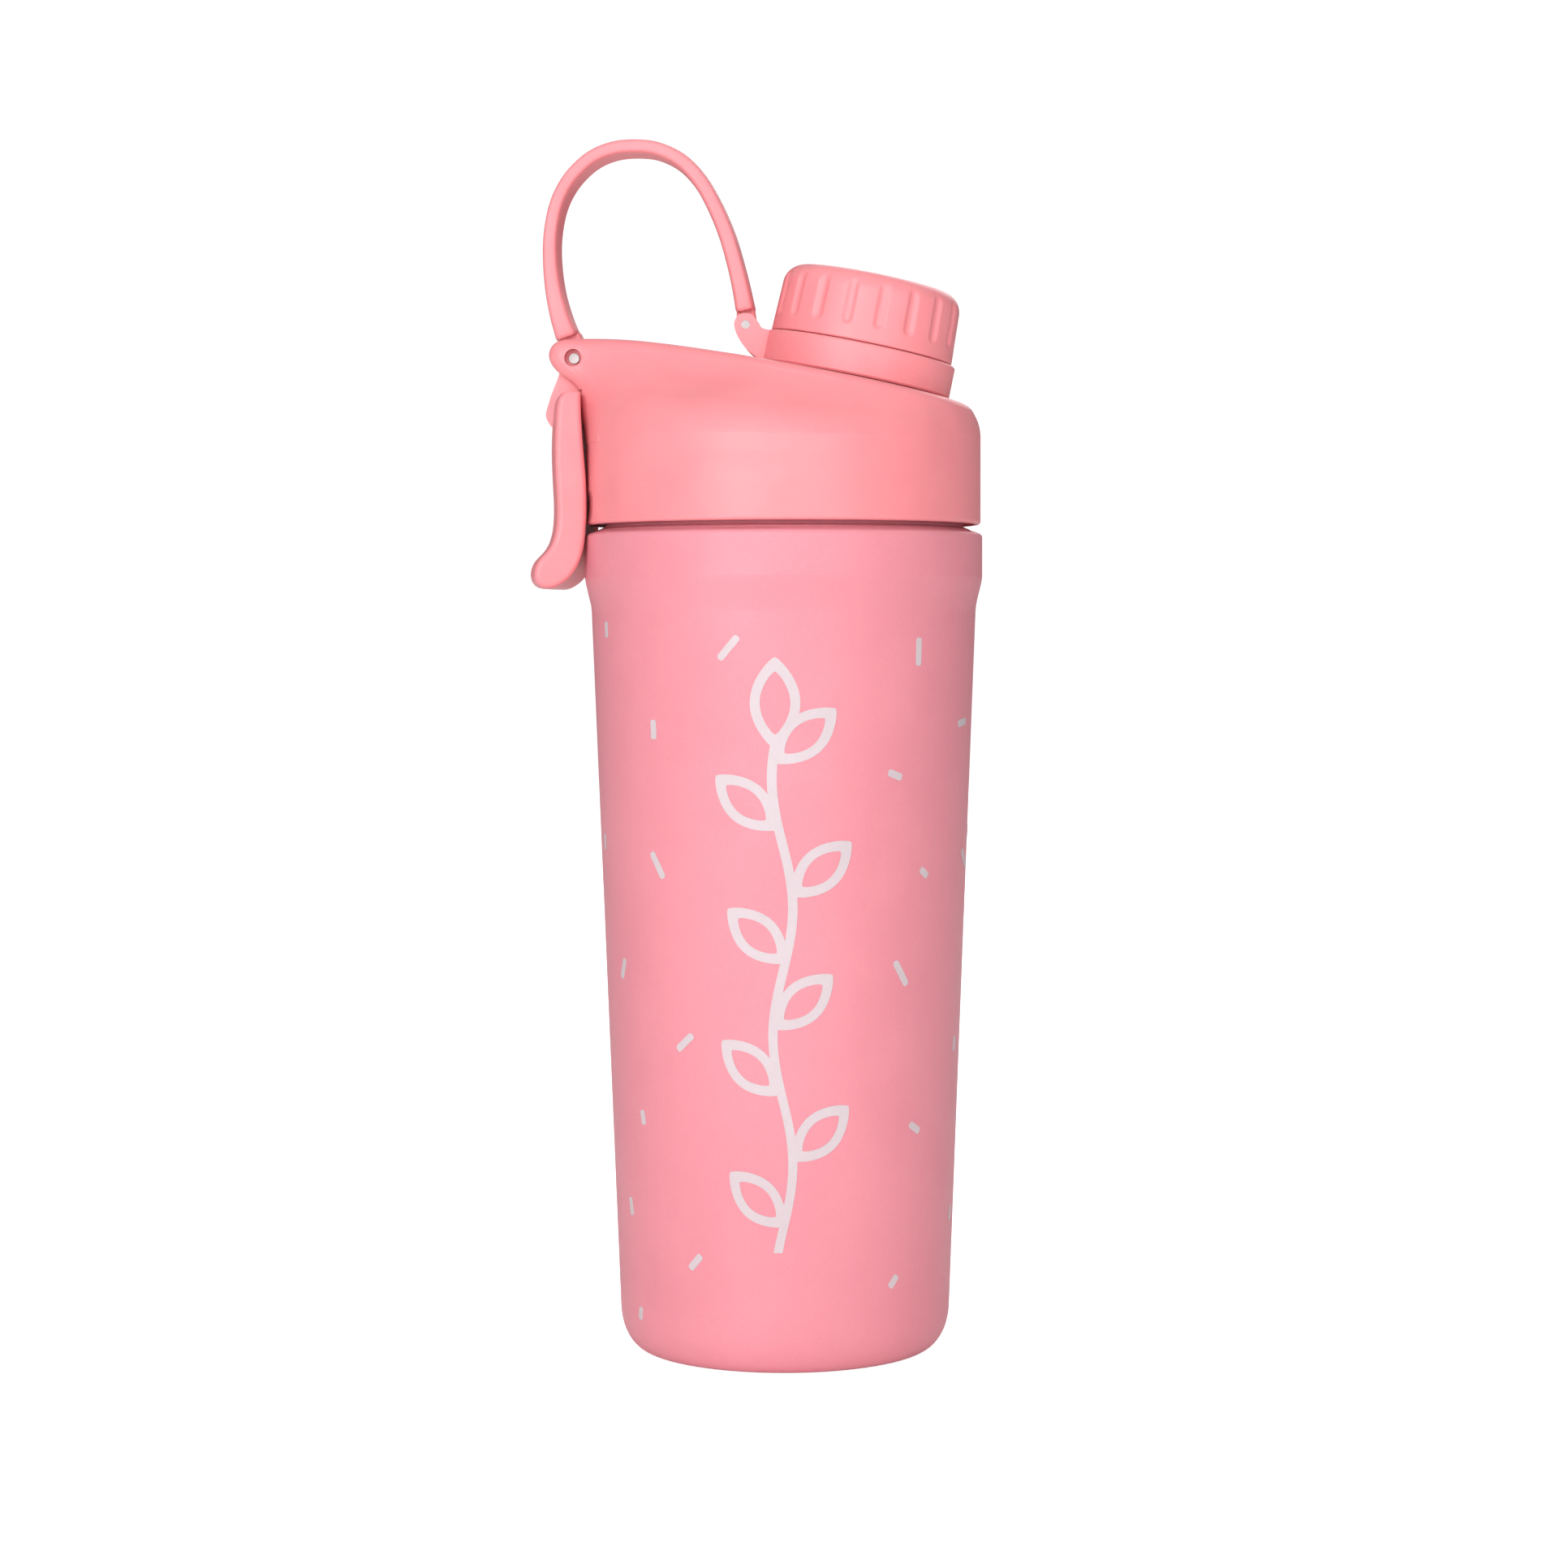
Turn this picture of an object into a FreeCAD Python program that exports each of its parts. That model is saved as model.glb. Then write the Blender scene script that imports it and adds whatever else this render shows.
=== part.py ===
import FreeCAD, Part
import math
import os

# Insulated protein shaker bottle: a tapered double-walled vessel, a screw-on lid with a raised
# sloping saddle, a threaded pour spout with a grooved screw cap, a carry loop that tethers the
# cap to the lid, and a swing-out carry clip.
# Frame: origin at the centre of the base, +Z up, spout towards +X, hinge pin and clip towards -X.

os.makedirs("parts", exist_ok=True)
V = FreeCAD.Vector
ORIGIN = V(0, 0, 0)
UP = V(0, 0, 1)
ALONG_Y = V(0, 1, 0)

# ---- Vessel ----
BASE_RADIUS = 37.47          # radius the straight side would have at the table
SIDE_TAPER = 0.03794         # growth of radius per mm of height
CORNER_WIDTH = 6.3
CORNER_HEIGHT = 10.0
STEEL = 0.9                  # outer wall
LINER_STEEL = 0.7            # inner wall
WALL_SPAN = 4.2              # outer face of the outer wall to inner face of the inner wall
BASE_OPENING = 28.2
SIDE_TOP = 169.0
COLLAR_RADIUS = 45.4
COLLAR_LOW = 176.8
COLLAR_HIGH = 185.8
NECK_RADIUS = 40.4
NECK_TOP = 203.2
LIP_TOP = 204.0
MOUTH_RADIUS = 38.6
FLOOR_LOW = 8.3
FLOOR_CORNER_Z = 18.0
FLOOR_CORNER_WIDTH = 8.0

# ---- Screw threads ----
LID_LEAD = 6.0
CAP_LEAD = 4.0
NECK_THREAD_Z = 192.0
THREAD_GAP_LID = 2.15        # how far the lid's ridge sits under the neck's ridge
THREAD_GAP_CAP = 1.6
LINER_WALL_RADIUS = 42.2

# ---- Lid ----
LID_RADIUS = 45.0
LID_BOTTOM = 188.7
LID_WALL = 2.2
SADDLE_FOOT_Z = 205.0
SADDLE_TOP = 224.1           # height of the sloping top where it crosses the axis
TILT = 11.5                  # slope of the top and lean of the spout, degrees
SLOPE = math.tan(math.radians(TILT))
LINER_RADIUS = 43.6
CEILING_LOW = 205.4
CEILING_HIGH = 207.0
EAR_TOP = 230.7
SLOT_HALF = 7.0              # gap between the ears
SLOT_BACK_X = -41.8
SLOT_FLOOR_Z = 217.5
SEAT_HALF = 17.5             # hollow behind the carry clip
SEAT_LOW = 207.0
SEAT_HIGH = 219.2
SEAT_RADIUS = 46.25
COUNTERBORE_RADIUS = 2.0     # sunk ring round each end of the hinge pin
COUNTERBORE_Y = 8.6
SADDLE_EDGE_ROUND = 3.0
BAND_TOP = 207.0             # above this the ears may swell past the band
BAND_SURPLUS = 0.10          # trimmed off again by the true cylinder of the band
CROWN_START = 0.5            # share of the height where the spout side starts to round over
CROWN_DROP = 2.0             # how far in it has rounded at the top, before the edge rounding

# ---- Hinge pin ----
PIN_X = -46.9
PIN_Z = 226.3
PIN_RADIUS = 1.15
PIN_FIT = 0.05
PIN_HALF = 9.4

# ---- Spout and cap, about an axis leaning towards +X ----
SPOUT_X = 16.2
SPOUT_Z = 220.8
SPOUT_BORE = 14.2
SPOUT_NECK = 16.5
SPOUT_BASE = 17.9
SPOUT_TIP = 19.0
SPOUT_FOOT = 22.0
CAP_LOW = 8.35
CAP_TOP = 24.55
CAP_RADIUS_LOW = 20.9
CAP_RADIUS_HIGH = 20.4
CAP_LINER_WALL = 18.1
CAP_LINER_RADIUS = 19.3
GROOVES = 18
GROOVE_CUTTER = 1.7
GROOVE_DEPTH = 0.5
GROOVE_LOW = 12.4

# ---- Tether ring ----
RING_LOW = 0.8
RING_HIGH = 8.1
RING_RADIUS = 21.85
RING_BORE = 19.6
ARM_HALF = 6.0
ARM_SLOT_HALF = 3.25
RING_PIN_U = -26.54          # along the tilted top, from the spout's axis
RING_PIN_H = 8.07            # above the tilted top
RING_PIN_RADIUS = 1.0

# ---- Carry loop ----
STRAP_HALF = 6.3
STRAP_ROUND = 1.2
REAR_TONGUE_HALF = 3.9
FRONT_TONGUE_HALF = 3.0
REAR_EYE = 3.2
FRONT_EYE = 2.4
FRONT_EYE_BORE = 1.45        # loose, the opened pivot of the closed loop
FLEX_X = -33.1
FLEX_GAP = 0.1

# ---- Carry clip ----
CLIP_HALF_ANGLE = 17.8
CLIP_LUG_IN = 4.2
CLIP_LUG_OUT = 6.7
CLIP_EYE = 3.6

# ---- Mixing strainer ----
GRID_LOW = 189.8
GRID_THICK = 1.8
GRID_TOP = 202.0
GRID_BORE = 35.08
GRID_RADIUS = 37.3
GRID_PITCH = 8.0
GRID_HOLE = 6.2


class Outline:
    """A closed profile in the XZ plane, drawn as straight lines and smooth curves."""

    def __init__(self, x, z):
        self.start = V(x, 0, z)
        self.here = self.start
        self.edges = []

    def line(self, *points):
        for x, z in points:
            there = V(x, 0, z)
            self.edges.append(Part.makeLine(self.here, there))
            self.here = there
        return self

    def curve(self, *points):
        stops = [self.here] + [V(x, 0, z) for x, z in points]
        curve = Part.BSplineCurve()
        curve.interpolate(stops)
        self.edges.append(curve.toShape())
        self.here = stops[-1]
        return self

    def face(self):
        if self.here.distanceToPoint(self.start) > 1e-6:
            self.edges.append(Part.makeLine(self.here, self.start))
        return Part.Face(Part.Wire(self.edges))

    def turned(self):
        return self.face().revolve(ORIGIN, UP, 360)

    def slab(self, half_width):
        solid = self.face().extrude(V(0, 2 * half_width, 0))
        solid.translate(V(0, -half_width, 0))
        return solid


def side_radius(z):
    return BASE_RADIUS + SIDE_TAPER * z


def quarter(cx, cz, width, height, first, last, steps=5):
    """Points on an ellipse's arc, after its first one."""
    points = []
    for i in range(1, steps + 1):
        a = math.radians(first + (last - first) * i / steps)
        points.append((cx + width * math.cos(a), cz + height * math.sin(a)))
    return points


def helical_ridge(root, crest, half_root, half_crest, lead, z_start, turns, first_turn):
    """A screw ridge from the root radius to the crest radius, sunk slightly into its wall."""
    sink = 0.3 if crest > root else -0.3
    slope = (half_root - half_crest) / abs(crest - root)
    half_sunk = half_root + slope * abs(sink)
    helix = Part.makeHelix(lead, lead * turns, root)
    corners = [
        V(root - sink, 0, -half_sunk),
        V(crest, 0, -half_crest),
        V(crest, 0, half_crest),
        V(root - sink, 0, half_sunk),
    ]
    section = Part.makePolygon(corners + corners[:1])
    ridge = Part.Wire(helix.Edges).makePipeShell([section], True, True)
    ridge.rotate(ORIGIN, UP, 360.0 * first_turn)
    ridge.translate(V(0, 0, z_start + lead * first_turn))
    return ridge


def rod(radius, x, z, half_length):
    """A round bar along Y."""
    return Part.makeCylinder(radius, 2 * half_length, V(x, -half_length, z), ALONG_Y)


def block(x_low, x_high, half_width, z_low, z_high):
    return Part.makeBox(x_high - x_low, 2 * half_width, z_high - z_low, V(x_low, -half_width, z_low))


def onto_spout(shape):
    """Carry a shape drawn about the Z axis to the leaning axis of the spout."""
    shape.rotate(ORIGIN, ALONG_Y, TILT)
    shape.translate(V(SPOUT_X, 0, SPOUT_Z))
    return shape


def save(name, shape):
    solid = shape.Solids[0] if len(shape.Solids) == 1 else shape
    print(name, "solids", len(shape.Solids), "valid", solid.isValid(), "volume", round(solid.Volume, 1))
    solid.exportStep("parts/" + name + ".step")
    return solid


# ---- Vessel: painted outer shell, bright inner vessel, base disc and getter ----
corner_x = side_radius(CORNER_HEIGHT) - CORNER_WIDTH
shell = Outline(BASE_OPENING, 0).line((corner_x, 0))
shell.curve(*quarter(corner_x, CORNER_HEIGHT, CORNER_WIDTH, CORNER_HEIGHT, -90, 0))
shell.line((side_radius(SIDE_TOP), SIDE_TOP))
shell.curve((44.25, 171.6), (45.0, 174.6), (COLLAR_RADIUS, COLLAR_LOW))
shell.line((COLLAR_RADIUS, COLLAR_HIGH))
shell.curve((45.15, 186.4), (44.5, 186.8), (42.6, 187.5))
shell.line((41.2, 188.1), (NECK_RADIUS, 189.4), (NECK_RADIUS, NECK_TOP))
shell.line((NECK_RADIUS - STEEL, NECK_TOP), (NECK_RADIUS - STEEL, 186.6))
shell.line((44.3, 184.9), (COLLAR_RADIUS - STEEL, 177.2))
shell.line((side_radius(SIDE_TOP) - STEEL - 0.1, SIDE_TOP - 0.2))
shell.line((corner_x + CORNER_WIDTH - STEEL, CORNER_HEIGHT))
shell.curve(*quarter(corner_x, CORNER_HEIGHT, CORNER_WIDTH - STEEL, CORNER_HEIGHT - 1.0, 0, -90))
shell.line((BASE_OPENING, 1.0))
neck_ridge = helical_ridge(NECK_RADIUS, 41.75, 1.3, 0.65, LID_LEAD, NECK_THREAD_Z, 1.4, 0.0)
save("outer_shell", shell.turned().fuse(neck_ridge))

inner_top = side_radius(165) - WALL_SPAN
floor_x = side_radius(FLOOR_CORNER_Z) - WALL_SPAN + LINER_STEEL - FLOOR_CORNER_WIDTH
outer_drop = FLOOR_CORNER_Z - FLOOR_LOW
inner = Outline(MOUTH_RADIUS, LIP_TOP).line((NECK_RADIUS, LIP_TOP), (NECK_RADIUS, NECK_TOP))
inner.line((39.4, NECK_TOP), (39.4, 185))
inner.curve((39.5, 180), (39.95, 172), (inner_top + LINER_STEEL, 165))
inner.line((floor_x + FLOOR_CORNER_WIDTH, FLOOR_CORNER_Z))
inner.curve(*quarter(floor_x, FLOOR_CORNER_Z, FLOOR_CORNER_WIDTH, outer_drop, 0, -90))
inner.line((0, FLOOR_LOW), (0, FLOOR_LOW + LINER_STEEL), (floor_x, FLOOR_LOW + LINER_STEEL))
inner.curve(*quarter(floor_x, FLOOR_CORNER_Z, FLOOR_CORNER_WIDTH - LINER_STEEL,
                     outer_drop - LINER_STEEL, -90, 0))
inner.line((inner_top, 165))
inner.curve((39.25, 172), (38.8, 180), (MOUTH_RADIUS, 185))
save("inner_vessel", inner.turned())

disc = Outline(0, 0).line((24.0, 0), (24.4, 0.5), (25.6, 0.5), (26.0, 0), (28.0, 0))
disc.line((28.0, 1.0), (30.0, 1.0), (30.0, 1.6), (0, 1.6))
save("base_disc", disc.turned())

getter = Outline(0, 1.6).line((7.0, 1.6), (7.0, 2.4), (5.5, 2.8), (0, 2.8))
save("vacuum_getter", getter.turned())

# ---- Lid: sealing ring, threaded liner, outer shell and hinge pin ----
gasket = Outline(38.4, LIP_TOP).line((41.8, LIP_TOP), (41.8, CEILING_LOW), (38.4, CEILING_LOW))
save("lid_gasket", gasket.turned())

spout_bore = onto_spout(Part.makeCylinder(SPOUT_BORE, 60, V(0, 0, -38)))
liner = Outline(0, CEILING_LOW).line((33.6, CEILING_LOW), (33.6, 197.5), (35.0, 197.5))
liner.line((35.0, CEILING_LOW), (LINER_WALL_RADIUS, CEILING_LOW), (LINER_WALL_RADIUS, 189.3))
liner.line((LINER_RADIUS, 189.3), (LINER_RADIUS, CEILING_HIGH), (0, CEILING_HIGH))
lid_ridge = helical_ridge(LINER_WALL_RADIUS, 40.85, 1.3, 0.65, LID_LEAD,
                          NECK_THREAD_Z - THREAD_GAP_LID, 1.2, 0.3)
save("lid_liner", liner.turned().fuse(lid_ridge).cut(spout_bore))

# Half widths of the saddle seen from above, from the spout end to the ears.
SADDLE = [
    (44.6, 0), (43.8, 8.5), (41.0, 16.8), (36.2, 24.0), (29.4, 29.4), (21.4, 32.4), (13.2, 33.0),
    (5.0, 31.8), (-3.0, 29.4), (-11.0, 26.2), (-19.0, 22.6), (-27.0, 18.9), (-34.0, 15.8),
    (-40.0, 13.5), (-46.0, 11.9), (-51.0, 11.2), (-55.5, 10.2), (-58.5, 6.5), (-59.5, 0),
]
# Directions round the axis, closer together near the ears.
HEADINGS = [0, 14, 28, 42, 56, 70, 84, 98, 110, 121, 131, 139, 146, 152, 157, 161.5, 165.5, 169, 172.5, 180]
# Share of the height from the band to the top, and how much of the saddle's outline is taken there.
FLANK = [
    (-0.9, 0), (-0.45, 0), (0, 0), (0.14, 0.01), (0.26, 0.06), (0.38, 0.17), (0.50, 0.39),
    (0.63, 0.66), (0.77, 0.87), (0.92, 0.97), (1.08, 1), (1.25, 1),
]


def crown(share, heading):
    """How far the spout side leans in towards its top."""
    rise = max(share - CROWN_START, 0.0) / (1.0 - CROWN_START)
    return CROWN_DROP * rise * rise * max(math.cos(math.radians(heading)), 0.0) ** 1.5


def saddle_reach():
    """The saddle's smooth outline seen from above, as (heading, reach) pairs."""
    curve = Part.BSplineCurve()
    half = [V(x, y, 0) for x, y in SADDLE]
    mirrored = [V(x, -y, 0) for x, y in reversed(SADDLE[1:-1])]
    curve.interpolate(Points=half + mirrored, PeriodicFlag=True)
    reach = []
    for point in curve.toShape().discretize(720):
        if point.y >= -1e-6:
            reach.append((math.degrees(math.atan2(max(point.y, 0.0), point.x)), math.hypot(point.x, point.y)))
    return sorted(reach)


REACH = saddle_reach()


def saddle_radius(heading):
    for (a1, r1), (a2, r2) in zip(REACH[:-1], REACH[1:]):
        if a1 <= heading <= a2:
            return r1 + (r2 - r1) * (heading - a1) / max(a2 - a1, 1e-9)
    return REACH[0][1] if heading < REACH[0][0] else REACH[-1][1]


def lid_form(inset):
    """The lid's swelling form from its lower edge to above the sloping top, shrunk by the inset."""
    wires = []
    headings = HEADINGS + [360 - a for a in reversed(HEADINGS[1:-1])]
    lowest = -FLANK[0][0]
    for share, saddle_share in FLANK:
        rise = SADDLE_TOP - SADDLE_FOOT_Z if share > 0 else (SADDLE_FOOT_Z - LID_BOTTOM) / lowest
        slope = max(share, 0.0) * SLOPE
        points = []
        for a in headings:
            folded = a if a <= 180 else 360 - a
            r = (1 - saddle_share) * (LID_RADIUS + BAND_SURPLUS) + saddle_share * saddle_radius(folded)
            r -= inset + crown(share, folded)
            x = r * math.cos(math.radians(a))
            points.append(V(x, r * math.sin(math.radians(a)), SADDLE_FOOT_Z + share * rise - slope * x))
        ring = Part.BSplineCurve()
        ring.interpolate(Points=points, PeriodicFlag=True)
        wires.append(Part.Wire([ring.toShape()]))
    return Part.makeLoft(wires, True, False)


def top_at(x):
    return SADDLE_TOP - SLOPE * x


profile = Outline(62, 180).line((62, top_at(62)), (-7, top_at(-7)))
profile.curve((-16, 227.25), (-26, 229.0), (-35, 230.2), (-43, EAR_TOP), (-48.0, EAR_TOP),
              (-50.8, 230.2), (-52.4, 228.6), (-52.7, 226.8), (-51.8, 224.6), (-49.8, 222.6),
              (-47.6, 220.9), (-46.0, 219.2), (-45.4, 216.5), (-45.4, 213.0))
profile.line((-47, 180))
lid = lid_form(0.0).common(profile.slab(60))
rim = [e for e in lid.Edges if e.BoundBox.ZMax > 216 and e.BoundBox.ZMin > 209]
lid = lid.makeFillet(SADDLE_EDGE_ROUND, rim)
keep = Part.makeCylinder(LID_RADIUS, 60, V(0, 0, 180)).fuse(block(-62, -30, 20, BAND_TOP, 240))
lid = lid.common(keep)
skirt = Outline(LID_RADIUS - 0.6, LID_BOTTOM)
skirt.curve((LID_RADIUS - 0.2, LID_BOTTOM + 0.2), (LID_RADIUS, LID_BOTTOM + 0.7))
skirt.line((LID_RADIUS + 2, LID_BOTTOM + 2), (LID_RADIUS + 2, LID_BOTTOM - 1))
skirt.line((LID_RADIUS - 0.6, LID_BOTTOM - 1))
lid = lid.cut(skirt.turned())
hollow_top = Outline(-38, CEILING_HIGH).line((-38, EAR_TOP - LID_WALL - 1.0), (-24, 226.0))
hollow_top.line((-7, top_at(-7) - LID_WALL), (62, top_at(62) - LID_WALL), (62, CEILING_HIGH))
hollow = lid_form(LID_WALL).common(hollow_top.slab(60))
socket = Part.makeCylinder(LINER_RADIUS + PIN_FIT, CEILING_HIGH - LID_BOTTOM + 5, V(0, 0, LID_BOTTOM - 5))
slot = block(-62, SLOT_BACK_X, SLOT_HALF, SLOT_FLOOR_Z, 245)
clip_seat = block(-62, -38, SEAT_HALF, SEAT_LOW, SEAT_HIGH)
clip_seat = clip_seat.cut(Part.makeCylinder(SEAT_RADIUS, 20, V(0, 0, SEAT_LOW - 3)))
ear_bores = rod(PIN_RADIUS + PIN_FIT, PIN_X, PIN_Z, 20)
for side in (-1, 1):
    y_low = COUNTERBORE_Y if side > 0 else -20
    sink = Part.makeCylinder(COUNTERBORE_RADIUS, 20 - COUNTERBORE_Y, V(PIN_X, y_low, PIN_Z), ALONG_Y)
    ear_bores = ear_bores.fuse(sink)
spout_hole = onto_spout(Part.makeCylinder(SPOUT_BASE + 0.2, 20, V(0, 0, -10)))
for tool in (hollow, socket, slot, clip_seat, ear_bores, spout_hole):
    lid = lid.cut(tool)
save("lid_shell", lid)
save("main_hinge_pin", rod(PIN_RADIUS, PIN_X, PIN_Z, PIN_HALF))

# ---- Pour spout, leaning with the top ----
tube = Outline(SPOUT_BORE, -20).line((SPOUT_BASE, -20), (SPOUT_BASE, 0.6), (SPOUT_NECK, 0.6))
tube.line((SPOUT_NECK, SPOUT_TIP - 0.5)).curve((16.35, 18.85), (16.0, SPOUT_TIP)).line((14.8, SPOUT_TIP))
tube.curve((14.4, 18.85), (SPOUT_BORE, SPOUT_TIP - 0.6))
spout_ridge = helical_ridge(SPOUT_NECK, 17.7, 0.95, 0.45, CAP_LEAD, 8.6, 1.6, 0.0)
spout = onto_spout(tube.turned().fuse(spout_ridge))
spout = spout.cut(Part.makeBox(120, 120, 60, V(-60, -60, CEILING_HIGH - 60)))
foot_x = SPOUT_X - (SPOUT_Z - CEILING_HIGH) * SLOPE
foot = Part.makeCylinder(SPOUT_FOOT, 1.6, V(foot_x, 0, CEILING_HIGH))
save("spout", spout.fuse(foot.cut(spout_bore)))

# ---- Mixing strainer pushed onto the skirt under the lid ----
basket = Outline(0, GRID_LOW).line((GRID_RADIUS, GRID_LOW), (GRID_RADIUS, GRID_TOP))
basket.line((GRID_BORE, GRID_TOP), (GRID_BORE, GRID_LOW + GRID_THICK), (0, GRID_LOW + GRID_THICK))
mixer = basket.turned()
holes = []
for i in range(-4, 5):
    for j in range(-4, 5):
        x = i * GRID_PITCH
        y = j * GRID_PITCH
        if math.hypot(abs(x) + GRID_HOLE / 2, abs(y) + GRID_HOLE / 2) < GRID_BORE - 0.5:
            holes.append(Part.makeBox(GRID_HOLE, GRID_HOLE, 6,
                                      V(x - GRID_HOLE / 2, y - GRID_HOLE / 2, GRID_LOW - 2)))
save("mixer_grid", mixer.cut(Part.makeCompound(holes)))

# ---- Tether ring with its clevis arm, and the pin through it ----
ring = Outline(20.5, RING_LOW).line((RING_RADIUS - 0.4, RING_LOW), (RING_RADIUS, RING_LOW + 0.4))
ring.line((RING_RADIUS, RING_HIGH - 0.4), (RING_RADIUS - 0.4, RING_HIGH), (RING_BORE, RING_HIGH))
ring.line((RING_BORE, 4.2), (20.5, 3.6))
arm = Outline(-20.2, 1.0).curve((-21.8, 1.15), (-23.9, 1.9), (-25.9, 3.2), (-27.6, 4.9), (-28.8, 6.8),
                                (-29.14, RING_PIN_H), (-28.7, 9.55), (-27.5, 10.5), (-26.3, 10.66),
                                (-25.0, 10.2), (-24.1, 9.3), (-23.3, 8.4), (-22.0, 7.95))
arm.line((-20.2, 7.9))
arm_solid = arm.slab(ARM_HALF)
arm_solid = arm_solid.cut(block(-32, -23.4, ARM_SLOT_HALF, 4.95, 14))
arm_solid = arm_solid.cut(rod(RING_PIN_RADIUS + PIN_FIT, RING_PIN_U, RING_PIN_H, 12))
save("tether_ring", onto_spout(ring.turned().fuse(arm_solid)))
ring_pin = onto_spout(rod(RING_PIN_RADIUS, RING_PIN_U, RING_PIN_H, ARM_HALF - 0.05))
save("ring_pin", ring_pin)

# ---- Screw cap: grooved shell, threaded liner and seal ----
cap = Outline(CAP_LINER_RADIUS + 0.1, CAP_LOW).line((20.6, CAP_LOW), (CAP_RADIUS_LOW, CAP_LOW + 0.35))
cap.line((CAP_RADIUS_HIGH, 20.2))
cap.curve((20.15, 21.8), (19.4, 23.1), (18.0, 23.95), (16.0, 24.2)).curve((8.0, 24.45), (0, CAP_TOP))
cap.line((0, 22.3), (CAP_LINER_RADIUS + 0.1, 22.3))
cap_shell = cap.turned()
cutters = []
for i in range(GROOVES):
    seat = V(20.65 - GROOVE_DEPTH + GROOVE_CUTTER, 0, GROOVE_LOW)
    cutter = Part.makeCylinder(GROOVE_CUTTER, 20, seat).fuse(Part.makeSphere(GROOVE_CUTTER, seat))
    cutter.rotate(ORIGIN, UP, 360.0 / GROOVES * i)
    cutters.append(cutter)
save("cap_shell", onto_spout(cap_shell.cut(Part.makeCompound(cutters))))

lining = Outline(CAP_LINER_WALL, 2.2).line((20.1, 2.2), (20.1, 2.9), (CAP_LINER_RADIUS, 3.5))
lining.line((CAP_LINER_RADIUS, 22.25), (0, 22.25), (0, 21.05), (CAP_LINER_WALL, 21.05))
cap_ridge = helical_ridge(CAP_LINER_WALL, 16.9, 0.95, 0.45, CAP_LEAD, 8.6 - THREAD_GAP_CAP, 1.5, 0.2)
save("cap_liner", onto_spout(lining.turned().fuse(cap_ridge)))
save("cap_gasket", onto_spout(Part.makeCylinder(17.9, 21.05 - SPOUT_TIP, V(0, 0, SPOUT_TIP))))

# ---- Carry loop: one soft strap, modelled as two lengths that meet at its crown ----
# Middle line and thickness, from the hinge pin over the crown to the cap's ring.
STRAP = [
    (-49.0, 231.4, 5.2), (-50.6, 236.0, 4.6), (-52.0, 242.0, 4.0), (-52.7, 248.5, 3.6),
    (-52.6, 255.0, 3.4), (-51.2, 261.8, 3.3), (-48.2, 267.4, 3.3), (-43.6, 271.8, 3.3),
    (-38.5, 274.0, 3.3), (-33.1, 274.5, 3.3), (-28.0, 273.8, 3.3), (-22.8, 271.2, 3.4),
    (-18.6, 266.8, 3.5), (-15.3, 261.0, 3.6), (-12.6, 254.5, 3.7), (-10.7, 248.0, 3.8),
    (-9.4, 242.5, 4.0), (-8.4, 237.2, 4.3),
]


def strap_band(half_width):
    outer = []
    inner_side = []
    for i, (x, z, thick) in enumerate(STRAP):
        x0, z0, _ = STRAP[max(i - 1, 0)]
        x1, z1, _ = STRAP[min(i + 1, len(STRAP) - 1)]
        length = math.hypot(x1 - x0, z1 - z0)
        nx = -(z1 - z0) / length
        nz = (x1 - x0) / length
        outer.append((x + nx * thick / 2, z + nz * thick / 2))
        inner_side.append((x - nx * thick / 2, z - nz * thick / 2))
    outer[0] = (outer[0][0], STRAP[0][1])
    inner_side[0] = (inner_side[0][0], STRAP[0][1])
    outer[-1] = (outer[-1][0], STRAP[-1][1])
    inner_side[-1] = (inner_side[-1][0], STRAP[-1][1])
    inner_side.reverse()
    band = Outline(*outer[0]).curve(*outer[1:]).line(inner_side[0]).curve(*inner_side[1:])
    return band.slab(half_width)


strap = strap_band(STRAP_HALF)
long_edges = [e for e in strap.Edges if e.Length > 60]
strap = strap.makeFillet(STRAP_ROUND, long_edges)
rear = strap.cut(block(FLEX_X - FLEX_GAP, 20, 20, 200, 300))
front = strap.cut(block(-80, FLEX_X + FLEX_GAP, 20, 200, 300))
rear_tongue = Outline(PIN_X - REAR_EYE, PIN_Z).line((-51.0, 231.6), (-50.2, 233.4), (-46.8, 233.4))
rear_tongue.line((-45.9, 231.6), (PIN_X + REAR_EYE, PIN_Z))
rear = rear.fuse(rear_tongue.slab(REAR_TONGUE_HALF)).fuse(rod(REAR_EYE, PIN_X, PIN_Z, REAR_TONGUE_HALF))
save("loop_rear", rear.cut(rod(PIN_RADIUS + PIN_FIT, PIN_X, PIN_Z, 20)))
ring_pin_at = onto_spout(Part.Vertex(RING_PIN_U, 0, RING_PIN_H)).Point
px = ring_pin_at.x
pz = ring_pin_at.z
front_tongue = Outline(px - FRONT_EYE, pz).line((px - 2.0, 239.0), (px + 1.2, 239.0), (px + FRONT_EYE, pz))
front = front.fuse(front_tongue.slab(FRONT_TONGUE_HALF)).fuse(rod(FRONT_EYE, px, pz, FRONT_TONGUE_HALF))
save("loop_front", front.cut(rod(FRONT_EYE_BORE, px, pz, 20)))
print("ring pin at", round(px, 3), round(pz, 3))

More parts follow.
